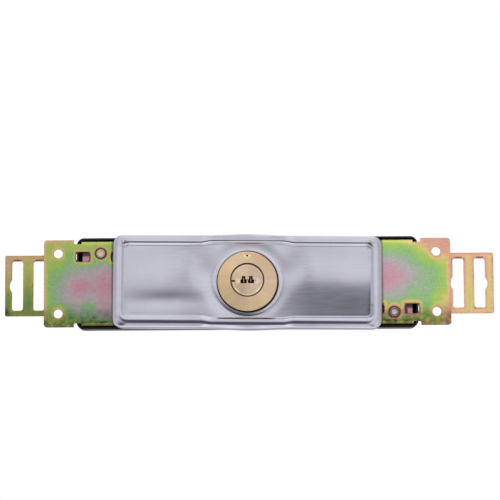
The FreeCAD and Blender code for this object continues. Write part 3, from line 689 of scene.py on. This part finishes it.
# %% Passivated guide blocks and rivets
def block_material():
    """The guide blocks seen through the windows, shaded by the plate's edge above and beside them."""
    material, tree, shader, point = new_material("passivated block")
    x, _, z = split(tree, point)
    up = plus(tree, z, times(tree, calc(tree, "SIGN", x), WINDOW_Z))
    above = span(tree, up, -0.6 * MM, 1.4 * MM, 0.0, 0.86, smooth=True)
    away = minus(tree, apart(tree, past_rivet(tree, x)), left_to_right(tree, x, 0.0, 1.1 * MM))
    beside = span(tree, away, WINDOW_SPACING - 3.4 * MM, WINDOW_SPACING - 4.0 * MM, 0.0, 0.85)
    film_finish(tree, shader, point, 0.97, 0.08, 1.3, largest(tree, above, beside))
    return material


def rivet_material():
    """A peened rivet head: a pale dish with painted shade in a ring round it, stronger on the right."""
    material, tree, shader, point = new_material("passivated rivet")
    x, _, z = split(tree, point)
    radius = length(tree, past_rivet(tree, x), plus(tree, turned_height(tree, x, z), RIVET.z))
    dish = near(tree, radius, 1.8 * MM, 1.0 * MM, smooth=True)
    film = mix(tree, dish, 0.74, left_to_right(tree, x, 0.05, 0.68))
    # Painted shade in a ring round the head.
    ring_shade = times(tree, near(tree, apart(tree, radius, 2.05 * MM), 0.6 * MM, 0.15 * MM),
                    left_to_right(tree, x, 0.25, 0.8))
    film_finish(tree, shader, point, film, 0.30, 1.75, ring_shade)
    return material


BLOCK = block_material()
RIVETS = rivet_material()
print("small finishes:", BLOCK.name, "and", RIVETS.name)

# %% [markdown]
# Polished sheet, brass and bright steel share one more effect: faint marks from polishing and
# handling, which change the gloss more than the colour. `handling marks` gives a slow cloud
# for the gloss and fine scratches for the bump.

# %% Shared effects: handling marks, and the polished cover's finish
POLISHED_TINT = (0.60, 0.595, 0.65)
DARK_REFLECTION_PLACE = (76.0 * MM, 23.4 * MM)


def marks_group():
    tree, source, sink = new_group(
        "handling marks",
        [("Point", "Vector", (0, 0, 0)), ("Fine", "Float", 1500.0)],
        [("Cloud", "Float"), ("Scratch", "Float")])
    stretched = vector_calc(tree, "MULTIPLY", source["Point"], (0.06, 1.0, 1.0))
    tree.links.new(noise_value(tree, source["Point"], 45.0, 4.0, 0.6), sink["Cloud"])
    tree.links.new(noise_value(tree, stretched, source["Fine"], 3.0, 0.7), sink["Scratch"])
    return tree


MARKS = marks_group()


def polished_material():
    """Bright drawn steel, polished along its length, with painted dark reflections in the recess's upper
    corners.
    """
    material, tree, shader, point = new_material("polished cover")
    marks = use_group(tree, MARKS, {"Point": point, "Fine": 1800.0})
    streaks = noise_value(tree, vector_calc(tree, "MULTIPLY", point, (0.12, 1.0, 1.0)), 700.0, 3.0, 0.6)
    tone = times(tree, vary(tree, marks["Cloud"], 0.95, 1.03), vary(tree, streaks, 0.95, 1.03))
    x, _, z = split(tree, point)
    level = calc(tree, "MULTIPLY_ADD", x, 0.012, z)
    # Painted reflection: dark patches in the recess's upper corners, broken up by noise.
    corner = spot_distance(tree, apart(tree, x), level, *DARK_REFLECTION_PLACE)
    reflection_breakup = span(tree, noise_value(tree, point, 900.0, 3.0, 0.7), 0.42, 0.6)
    corner = times(tree, near(tree, corner, 3.4 * MM, 1.0 * MM), reflection_breakup)
    tone = times(tree, tone, span(tree, corner, 0.0, 1.0, 1.0, 0.22))
    height = calc(tree, "MULTIPLY_ADD", streaks, 0.6, times(tree, marks["Scratch"], 0.4))
    feed(tree, shader, Base_Color=tinted(tree, tone, POLISHED_TINT), Metallic=1.0,
         Roughness=vary(tree, streaks, 0.07, 0.13), Normal=bump(tree, height, 0.10, 0.01 * MM))
    return material


POLISHED = polished_material()
print("cover finish:", POLISHED.name)

# %% [markdown]
# Turned brass shows fine rings round the lathe's axis, which is the plug's. A sheen in wedges
# is painted into its colour, since the light along the rings changes with their direction.
# Painted highlights stand beside the punched index mark and the keyway, and on each side of
# the plug's worn edge below. Painted shade darkens the gaps, the keyway's throat and the small
# cuts.

# %% Turned brass
AXIS = next(joint["pos_m"] for joint in record["behaviour"]["joints"] if joint["name"] == "plug_turn")
PLUG_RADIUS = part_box("cylinder_plug")[1].x
INDEX_UP = 15.59 * MM - AXIS[2]
# The colour of painted shade in the gaps.
GAP_SHADE_COLOUR = (0.05, 0.026, 0.010, 1)
# middle x and z up from the axis, half size across and up, in millimetres
HEAD_CUT = (0.0, 15.0, 0.55, 0.35)
PLUG_CUT = (-8.7, -0.7, 1.2, 0.45)
NO_CUT = (0.0, 90.0, 0.1, 0.1)


def brass_glints(tree, x, z, radius, aside, above, sheen):
    """Painted highlights: beside the keyway, round the index mark and on the plug's lower edge."""
    across = apart(tree, x)
    by_keyway = spot_distance(tree, across, z, 5.7 * MM, -0.6 * MM)
    by_index = spot_distance(tree, across, z, 1.5 * MM, INDEX_UP + 0.1 * MM)
    under_index = length(tree, times(tree, x, 0.5), minus(tree, z, INDEX_UP - 1.3 * MM))
    from_edge = calc(tree, "DIVIDE", minus(tree, radius, PLUG_RADIUS - 1.0 * MM), 0.6 * MM)
    edge = calc(tree, "SUBTRACT", 1.0, apart(tree, from_edge), clamp=True)
    lights = times(tree, near(tree, apart(tree, apart(tree, aside), 0.75), 0.3, 0.05),
                   span(tree, above, 0.0, -0.3, 0.25, 1.0))
    return plus(tree, near(tree, by_keyway, 2.6 * MM, 0.5 * MM, sheen, smooth=True),
                near(tree, by_index, 1.0 * MM, 0.4 * MM, 0.6),
                near(tree, under_index, 0.9 * MM, 0.2 * MM, 0.25),
                times(tree, edge, lights, sheen * 1.8))


def brass_gap_shade(tree, x, y, z, radius, above, front, throat, cut):
    """Painted shade: on the side walls, in the throat, in the gap round the plug and in a small cut."""
    behind = minus(tree, y, front)
    walls = span(tree, behind, 1.4 * MM, 2.0 * MM)
    inner = times(tree, near(tree, radius, throat + 0.15 * MM, throat),
                  span(tree, behind, 0.08 * MM, 0.5 * MM, 0.0, 0.85),
                  span(tree, behind, 0.8 * MM, 1.5 * MM, 1.0, 0.35))
    grown = plus(tree, radius, span(tree, above, 0.3, 0.95, 0.0, 0.35 * MM, smooth=True))
    lip = times(tree, near(tree, radius, PLUG_RADIUS + 0.5 * MM, PLUG_RADIUS + 0.4 * MM),
                span(tree, grown, PLUG_RADIUS - 0.5 * MM, PLUG_RADIUS - 0.25 * MM, 0.0, 0.92))
    cut_x, cut_z, cut_half_x, cut_half_z = (value * MM for value in cut)
    from_cut = box_distance(tree, minus(tree, x, cut_x), minus(tree, z, cut_z), cut_half_x, cut_half_z)
    return largest(tree, walls, inner, lip, near(tree, from_cut, 0.2 * MM, 0.0))


def brass_material(name, turned, tint, front, throat, cut, sheen=0.0):
    """Brass with rings as deep as `turned` says, its face at `front` and painted shade within the throat's
    radius.
    """
    material, tree, shader, point = new_material(name)
    x, y, z = split(tree, vector_calc(tree, "SUBTRACT", point, (0, 0, AXIS[2])))
    radius = length(tree, x, z)
    rings = put(tree, "TexNoise", {"W": times(tree, radius, 5200.0), "Scale": 1.0, "Detail": 3.0},
                noise_dimensions="1D").outputs["Fac"]
    around = vector_calc(tree, "NORMALIZE", put(tree, "CombineXYZ", {0: x, 1: 0.0, 2: z}).outputs[0])
    aside, _, above = split(tree, around)
    marks = use_group(tree, MARKS, {"Point": point, "Fine": 1400.0})
    # Painted sheen: the wedges and rays brighten and darken the brass by direction round the axis.
    wedges = calc(tree, "MULTIPLY_ADD", times(tree, aside, above), -0.20, 1.0)
    wedges = calc(tree, "MULTIPLY_ADD", above, 0.06, wedges)
    rays = vary(tree, noise_value(tree, around, 5.0, 3.0, 0.6), 0.93, 1.06)
    tone = times(tree, vary(tree, marks["Cloud"], 0.93, 1.05), vary(tree, rings, 0.96, 1.03), wedges, rays)
    tone = plus(tree, tone, brass_glints(tree, x, z, radius, aside, above, sheen))
    pale = span(tree, noise_value(tree, around, 1.7, 1.0, 0.5), 0.35, 0.65, 0.94, 1.05, smooth=True)
    pale = calc(tree, "MULTIPLY_ADD", aside, 0.05, pale)
    bright = tinted(tree, tone, (tint[0], tint[1], times(tree, pale, tint[2])))
    dark = brass_gap_shade(tree, x, y, z, radius, above, front, throat, cut)
    feed(tree, shader, Base_Color=mix_colours(tree, dark, bright, GAP_SHADE_COLOUR), Metallic=1.0,
         Roughness=vary(tree, marks["Cloud"], 0.22, 0.32),
         Normal=bump(tree, times(tree, rings, turned), 0.3, 0.015 * MM))
    return material


head_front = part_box("cylinder_body")[0].y
plug_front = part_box("cylinder_plug")[0].y
BRASS_HEAD = brass_material("turned brass head", turned=0.5, tint=(0.83, 0.61, 0.375), front=head_front,
                            throat=11.3 * MM, cut=HEAD_CUT)
BRASS_PLUG = brass_material("turned brass plug", turned=0.4, tint=(0.77, 0.58, 0.41), front=plug_front,
                            throat=8.8 * MM, cut=PLUG_CUT, sheen=0.4)
BRASS = brass_material("plain brass", turned=0.0, tint=(0.95, 0.62, 0.32), front=1.0, throat=0.0, cut=NO_CUT)
print("plug radius mm:", round(PLUG_RADIUS / MM, 2))

# %% Bright steel and black enamel
ENAMEL_TINT = (1.15, 1.0, 0.85)


def steel_material(name, level, rough):
    material, tree, shader, point = new_material(name)
    marks = use_group(tree, MARKS, {"Point": point, "Fine": 2500.0})
    tone = vary(tree, marks["Cloud"], level * 0.9, level * 1.05)
    feed(tree, shader, Base_Color=grey(tree, tone), Roughness=rough, Metallic=1.0,
         Normal=bump(tree, marks["Scratch"], 0.2, 0.01 * MM))
    return material


def enamel_material():
    """Black baked enamel with a faint orange peel and fine dust."""
    material, tree, shader, point = new_material("black enamel")
    peel = noise_value(tree, point, 420.0, 2.0, 0.5)
    dust = noise_value(tree, point, 2600.0, 2.0, 0.7)
    tone = span(tree, dust, 0.55, 0.85, 0.012, 0.03)
    feed(tree, shader, Base_Color=tinted(tree, tone, ENAMEL_TINT), Metallic=0.0, Specular_IOR_Level=0.22,
         Roughness=span(tree, dust, 0.3, 0.8, 0.24, 0.40), Normal=bump(tree, peel, 0.2, 0.04 * MM))
    return material


STEEL = steel_material("bright steel", 0.55, 0.3)
ENAMEL = enamel_material()
print("materials so far:", len(bpy.data.materials))

# %% [markdown]
# A real stamped or turned edge is never quite sharp, and the thin line of light along it is
# what makes metal look solid. So each visible piece is shown by a copy of its CAD mesh with
# its flat faces merged and a fine bevel on its edges.

# %% Pieces with broken edges
SHARP = math.radians(25.0)
FLAT = math.radians(0.3)
BEVEL_STEPS = 2


def hand_over(piece, material, node):
    """Give a finished piece its material and its body, and hide the CAD node that it stands for."""
    piece.data.materials.clear()
    piece.data.materials.append(material)
    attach(piece, body_of[node])
    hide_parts(node)


def dressed(node, material, bevel):
    mesh = frame["nodes"][node].data.copy()
    piece = bpy.data.objects.new(node + "_finished", mesh)
    bpy.context.scene.collection.objects.link(piece)
    work = bmesh.new()
    work.from_mesh(mesh)
    bmesh.ops.remove_doubles(work, verts=work.verts, dist=1e-7)
    bmesh.ops.dissolve_limit(work, angle_limit=FLAT, verts=work.verts, edges=work.edges)
    for face in work.faces:
        face.smooth = True
    for edge in work.edges:
        if len(edge.link_faces) == 2:
            edge.smooth = edge.calc_face_angle() < SHARP
    work.to_mesh(mesh)
    work.free()
    modifier = piece.modifiers.new("broken edges", "BEVEL")
    modifier.width = bevel * MM
    modifier.segments = BEVEL_STEPS
    modifier.limit_method = "ANGLE"
    modifier.angle_limit = SHARP
    modifier.harden_normals = True
    hand_over(piece, material, node)


EDGES = (
    ("front_plate", PLATE, 0.15), ("left_tongue", LEFT_TONGUE, 0.15), ("right_tongue", RIGHT_TONGUE, 0.15),
    ("rear_cover", ENAMEL, 0.10), ("cylinder_body", BRASS_HEAD, 0.05), ("cylinder_plug", BRASS_PLUG, 0.05),
    ("left_guide_block", BLOCK, 0.15), ("left_rivet", RIVETS, 0.05),
    ("right_guide_block", BLOCK, 0.15), ("right_rivet", RIVETS, 0.05),
)
for node, material, bevel in EDGES:
    dressed(node, material, bevel)
print("pieces with broken edges:", len(EDGES))

# %% [markdown]
# The face cover is drawn from sheet, so it has no sharp edge anywhere: a rolled outer edge, a
# rim that falls away slightly, a steep slope with soft radii, a panel that is never quite flat,
# and a flared collar. Its mesh is a stack of closed loops from the foot of its wall to the
# collar's bore. Every loop has a point on the same rays from the middle, so they join cleanly.
# Outlines are given as fields: functions of x and z that are 0 on the outline and less inside.

# %% The drawn face cover: its outlines in millimetres
COVER_HALF = (83.2, 28.9)
COVER_CORNER = 6.0
COVER_DROP = 0.3
COVER_BOW = (28.0, 0.8)
CREST_HALF = (78.9, 24.3)
CREST_DROP = -0.4
CREST_CORNER = 5.0
BAY = (25.5, 7.0, 0.9)
LONG_STEPS, CORNER_STEPS, SHORT_STEPS = 150, 16, 36


def rounded_field(x, z, half_x, half_z, radius):
    """Distance from a rounded rectangle, less than 0 inside it."""
    over_x = np.abs(x) - half_x + radius
    over_z = np.abs(z) - half_z + radius
    outside = np.hypot(np.maximum(over_x, 0), np.maximum(over_z, 0))
    return outside + np.minimum(np.maximum(over_x, over_z), 0) - radius


def outline_field(x, z):
    """The cover's outline, whose long edges bow out beside the cylinder."""
    reach, rise = COVER_BOW
    bow = rise * 0.5 * (1 + np.cos(np.pi * np.clip(x / reach, -1, 1)))
    return rounded_field(x, z + COVER_DROP, COVER_HALF[0], COVER_HALF[1] + bow, COVER_CORNER)


def crest_field(x, z):
    """The crest between rim and recess, with the wider bay of the recess beside the cylinder."""
    start, blend, rise = BAY
    share = np.clip((start + blend / 2 - np.abs(x)) / blend, 0, 1)
    bay = rise * share * share * (3 - 2 * share)
    return rounded_field(x, z + CREST_DROP, CREST_HALF[0], CREST_HALF[1] + bay, CREST_CORNER)


def ray_angles():
    """Angles of the rays: evenly along the outline's edges and closer together round its corners."""
    half_x, half_z = COVER_HALF
    centre_x, centre_z = half_x - COVER_CORNER, half_z - COVER_CORNER

    def corner(start, end, side):
        return [(centre_x + COVER_CORNER * math.cos(turn), side * centre_z + COVER_CORNER * math.sin(turn))
                for turn in np.linspace(start, end, CORNER_STEPS, endpoint=False)]

    points = [(x, half_z) for x in np.linspace(-centre_x, centre_x, LONG_STEPS, endpoint=False)]
    points += corner(math.pi / 2, 0, 1)
    points += [(half_x, z) for z in np.linspace(centre_z, -centre_z, SHORT_STEPS, endpoint=False)]
    points += corner(0, -math.pi / 2, -1)
    points += [(-x, -z) for x, z in points]
    return np.array([math.atan2(z, x) for x, z in points])


ANGLES = ray_angles()
RAY_X, RAY_Z = np.cos(ANGLES), np.sin(ANGLES)


def reach_of(field, level):
    """How far along each ray a field has the level, found by halving the range."""
    low, high = np.full(len(ANGLES), 10.0), np.full(len(ANGLES), 110.0)
    for _ in range(36):
        middle = (low + high) / 2
        inside = field(middle * RAY_X, middle * RAY_Z) < level
        low = np.where(inside, middle, low)
        high = np.where(inside, high, middle)
    return low


print("rays:", len(ANGLES))

# %% [markdown]
# In section the sheet goes up the wall, over the roll, up the leaning rim to its crest, down the
# S of the slope to the panel and up the collar's flare. Depths count backwards from the face, so
# the crest has the lowest value.

# %% The drawn face cover: its loops
FOOT_Y, CREST_Y, PANEL_Y = -1.5, -9.5, -7.85
ROLL = 1.5
RIM_LEAN = math.radians(14)
RIM_EXTRA = 0.40
SLOPE = math.radians(47)
SHOULDER_RADIUS, CREST_RADIUS, FOOT_RADIUS = 10.5, 2.2, 0.7
HEAD_RADIUS = 18.49
# (gap from the cylinder's head, rise above the panel)
COLLAR = ((2.9, 0.0), (2.5, 0.02), (2.1, 0.065), (1.75, 0.12), (1.45, 0.17), (1.2, 0.21), (1.02, 0.235),
          (0.9, 0.23), (0.8, 0.20), (0.71, 0.14), (0.64, 0.05), (0.59, -0.1), (0.56, -0.3), (0.55, -1.2))
COLLAR_SHIFT = (0.25, -0.25)
PANEL_RINGS = 24


def ring_reach(radius):
    """How far along each ray a ring lies that is a little off the cylinder's middle."""
    along = COLLAR_SHIFT[0] * RAY_X + COLLAR_SHIFT[1] * RAY_Z
    return along + np.sqrt(along ** 2 + radius ** 2 - COLLAR_SHIFT[0] ** 2 - COLLAR_SHIFT[1] ** 2)


def wall_and_rim():
    lean_height = SHOULDER_RADIUS * (1 - math.cos(RIM_LEAN))
    shoulder = reach_of(crest_field, SHOULDER_RADIUS * math.sin(RIM_LEAN))
    knee = reach_of(outline_field, -ROLL * (1 - math.sin(RIM_LEAN)))
    rim_fall = lean_height + RIM_EXTRA
    start = CREST_Y + rim_fall + ROLL * math.cos(RIM_LEAN)
    loops = [(reach_of(outline_field, 0.0), y) for y in (FOOT_Y, FOOT_Y - 0.3, -4.0, start + 0.2)]
    for turn in np.linspace(0, math.pi / 2 - RIM_LEAN, 10):
        loops.append((reach_of(outline_field, -ROLL * (1 - math.cos(turn))), start - ROLL * math.sin(turn)))
    for share in (0.2, 0.4, 0.6, 0.8):
        depth = CREST_Y + rim_fall + (lean_height - rim_fall) * share
        loops.append((knee + (shoulder - knee) * share, depth))
    for turn in np.linspace(RIM_LEAN, 0, 6):
        depth = CREST_Y + SHOULDER_RADIUS * (1 - math.cos(turn))
        loops.append((reach_of(crest_field, SHOULDER_RADIUS * math.sin(turn)), depth))
    return loops


def slope_and_panel():
    loops = []
    for turn in np.linspace(0, SLOPE, 10)[1:]:
        depth = CREST_Y + CREST_RADIUS * (1 - math.cos(turn))
        loops.append((reach_of(crest_field, -CREST_RADIUS * math.sin(turn)), depth))
    bends = (CREST_RADIUS + FOOT_RADIUS) * (1 - math.cos(SLOPE))
    straight = (PANEL_Y - CREST_Y - bends) / math.tan(SLOPE)
    foot = -(CREST_RADIUS + FOOT_RADIUS) * math.sin(SLOPE) - straight
    for turn in np.linspace(SLOPE, 0, 10):
        depth = PANEL_Y - FOOT_RADIUS * (1 - math.cos(turn))
        loops.append((reach_of(crest_field, foot + FOOT_RADIUS * math.sin(turn)), depth))
    edge = loops[-1][0]
    first = ring_reach(HEAD_RADIUS + COLLAR[0][0])
    for share in np.linspace(0, 1, PANEL_RINGS + 1)[1:-1]:
        loops.append((edge + (first - edge) * share, PANEL_Y))
    return loops + [(ring_reach(HEAD_RADIUS + gap), PANEL_Y - rise) for gap, rise in COLLAR]


RIM_LOOPS = wall_and_rim()
LOOPS = RIM_LOOPS + slope_and_panel()
print("loops:", len(LOOPS))

# %% [markdown]
# No drawn panel is flat. It leans a little and so falls away from its upper edge, it sinks in a
# shallow ring round the cylinder's head, and a few wide dents and a fine waviness bend what it
# mirrors. The warp grows from nothing at the crest to its full depth on the panel.

# %% The drawn face cover: its warp and mesh
COVER_SKEW = math.radians(0.69)
SHEET = 0.8
FLAT_MIDDLE = 42.0
# lean at the middle, its change towards the ends, how soon it changes, and depth taken off
FALL = (0.037, 0.032, 40.0, 0.9)
# distance from the head, width and depth of the ring
MOAT = (2.6, 4.6, 0.24)
# middle x and z, reach in x and z, depth
DENTS = ((-27, 5, 7, 9, 0.22), (27, 5, 7, 9, 0.22), (-50, -12, 24, 5.0, 0.19), (-40, 17, 14, 7, 0.10),
         (-62, 13, 12, 9, 0.06), (44, 16, 12, 8, 0.10), (66, 12, 12, 9, 0.08))


def panel_warp(x, z):
    mean, swing, reach, lift = FALL
    tilt = mean + swing * math.tanh(x / reach)
    middle = 0.5 * (1 + math.cos(math.pi * min(1.0, abs(x) / FLAT_MIDDLE)))
    depth = (tilt * (math.hypot(z, 5.0) - z) / 2 - lift) * (1 - 0.75 * middle)
    gap, wide, deep = MOAT
    depth += deep * math.exp(-((math.hypot(x, z) - HEAD_RADIUS - gap) / wide) ** 2)
    for dent_x, dent_z, wide, high, deep in DENTS:
        depth += deep * math.exp(-((x - dent_x) / wide) ** 2 - ((z - dent_z) / high) ** 2)
    waves = noise.noise(Vector((x / 30, z / 22, 3.7))) * 0.06
    return depth + waves + noise.noise(Vector((x / 9, z / 12, 9.1))) * 0.010


def cover_vertices():
    vertices = []
    for index, (reach, y) in enumerate(LOOPS):
        inside = index >= len(RIM_LOOPS)
        share = min(1.0, (y - CREST_Y) / (PANEL_Y - CREST_Y)) if inside else 0.0
        for x, z in zip(reach * RAY_X, reach * RAY_Z):
            depth = y + panel_warp(x, z) * share if inside else y
            vertices.append((x * MM, depth * MM, z * MM))
    return vertices


def cover_faces():
    """Four-sided faces between neighbouring loops, wound so that their outer side looks forward."""
    count = len(ANGLES)
    faces = []
    for ring in range(len(LOOPS) - 1):
        for i in range(count):
            after = (i + 1) % count
            here, further = ring * count, (ring + 1) * count
            faces.append((here + i, further + i, further + after, here + after))
    return faces


def face_cover():
    mesh = bpy.data.meshes.new("face_cover_drawn")
    mesh.from_pydata(cover_vertices(), [], cover_faces())
    for polygon in mesh.polygons:
        polygon.use_smooth = True
    mesh.transform(Matrix.Rotation(COVER_SKEW, 4, "Y"))
    piece = bpy.data.objects.new("face_cover_drawn", mesh)
    bpy.context.scene.collection.objects.link(piece)
    modifier = piece.modifiers.new("sheet", "SOLIDIFY")
    modifier.thickness = SHEET * MM
    modifier.offset = -1
    hand_over(piece, POLISHED, "face_cover")
    return piece


cover = face_cover()
print("cover faces:", len(cover.data.polygons))

# %% [markdown]
# The pieces inside are hardly seen, so they keep their CAD mesh and only get a finish.

# %% Finishes on the pieces that keep their CAD mesh
PLAIN = {
    "key_pins": BRASS, "driver_pins": BRASS, "pin_cover_strip": BRASS, "cylinder_nut": BRASS,
    "rear_bush": BRASS, "pin_springs": STEEL, "anti_drill_pin": STEEL, "cylinder_spacer": STEEL,
    "nut_washer": STEEL, "pinion": STEEL, "thrust_washer": STEEL, "plug_clip": STEEL,
}
for node, material in PLAIN.items():
    mesh = frame["nodes"][node].data
    mesh.materials.clear()
    mesh.materials.append(material)
print("plain pieces:", len(PLAIN))
